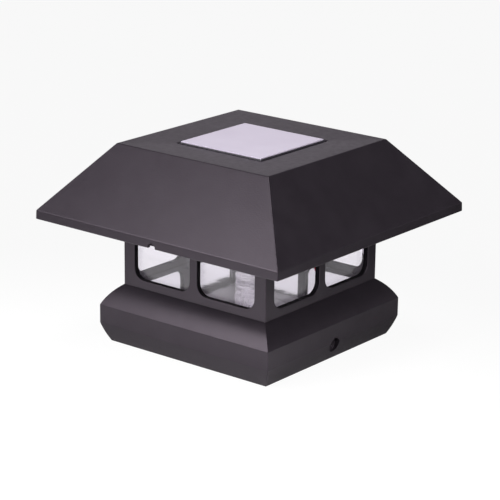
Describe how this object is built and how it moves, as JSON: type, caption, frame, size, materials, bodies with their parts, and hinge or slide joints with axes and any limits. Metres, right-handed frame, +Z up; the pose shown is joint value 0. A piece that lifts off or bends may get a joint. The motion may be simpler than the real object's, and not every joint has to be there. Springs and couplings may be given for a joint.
{
  "type": "deck post cap light",
  "caption": "Solar cap light for a square deck post: flared base, windowed lantern with a clear lens, and a lift-off hipped roof with a solar panel.",
  "frame": {"origin": "centre of the square base rim, at its lower edge", "axes": "+Z up along the post, +X and +Y square to the sides; the fixing screw holes face +X and -X, the eave notches +Y and -Y"},
  "size_m": [0.1632, 0.1632, 0.1111],
  "materials": {
    "black_moulding": "satin black moulded ABS with a fine even texture",
    "dark_moulding": "satin black moulded ABS",
    "clear_lens": "clear moulded acrylic with a slight haze",
    "clear_column": "clear moulded acrylic, fluted, with ring beads",
    "bright_plate": "bright metallised sheet, slightly soft reflection",
    "white_moulding": "satin white moulded ABS",
    "zinc_steel": "zinc plated or nickel plated steel",
    "panel_face": "pale satin cover sheet that hides the cell lines",
    "solar_cell": "dark blue silicon sheet",
    "panel_board": "glass fibre board, off white",
    "sealant": "black flexible adhesive",
    "circuit_board": "green glass fibre board",
    "led_lens": "clear epoxy lamp body",
    "battery_can": "green sleeve over a metal can",
    "chip_body": "black moulded package",
    "inductor_body": "green lacquered body",
    "red_knob": "red moulded plastic",
    "red_lead": "red insulation",
    "black_lead": "black insulation"
  },
  "bodies": {
    "base": {"base_skirt": "black_moulding", "lantern_frame": "black_moulding", "lens_box": "clear_lens", "reflector_plate": "bright_plate", "frame_screws": "zinc_steel", "frame_washers": "zinc_steel"},
    "roof": {"roof_shell": "black_moulding", "panel_cover": "panel_face", "solar_cell": "solar_cell", "panel_backing": "panel_board", "panel_sealant": "sealant", "soffit_plate": "dark_moulding", "soffit_screws": "zinc_steel", "light_housing": "white_moulding", "housing_screws": "zinc_steel", "light_column": "clear_column", "lamp_board": "circuit_board", "lamp_led": "led_lens", "column_clamp": "white_moulding", "clamp_screws": "zinc_steel", "battery": "battery_can", "spring_contact": "zinc_steel", "plate_contact": "zinc_steel", "control_board": "circuit_board", "board_screws": "zinc_steel", "driver_chip": "chip_body", "inductor": "inductor_body", "switch_body": "chip_body", "panel_lead_red": "red_lead", "panel_lead_black": "black_lead", "battery_lead_red": "red_lead", "battery_lead_black": "black_lead", "lamp_lead_red": "red_lead", "lamp_lead_black": "black_lead", "switch_lead_red": "red_lead", "switch_lead_black": "black_lead"},
    "battery_door": {"battery_door": "white_moulding"},
    "switch_knob": {"switch_knob": "red_knob"}
  },
  "joints": [
    {"name": "roof_lift", "type": "slide", "parent": "base", "child": "roof", "axis": [0, 0, 1], "range_m": [0, 0.06]},
    {"name": "battery_door_hinge", "type": "hinge", "parent": "roof", "child": "battery_door", "pos_m": [0, 0.03305, 0.0575], "axis": [1, 0, 0], "range_deg": [0, 90]},
    {"name": "switch_slide", "type": "slide", "parent": "roof", "child": "switch_knob", "axis": [0, 1, 0], "range_m": [0, 0.003]}
  ]
}
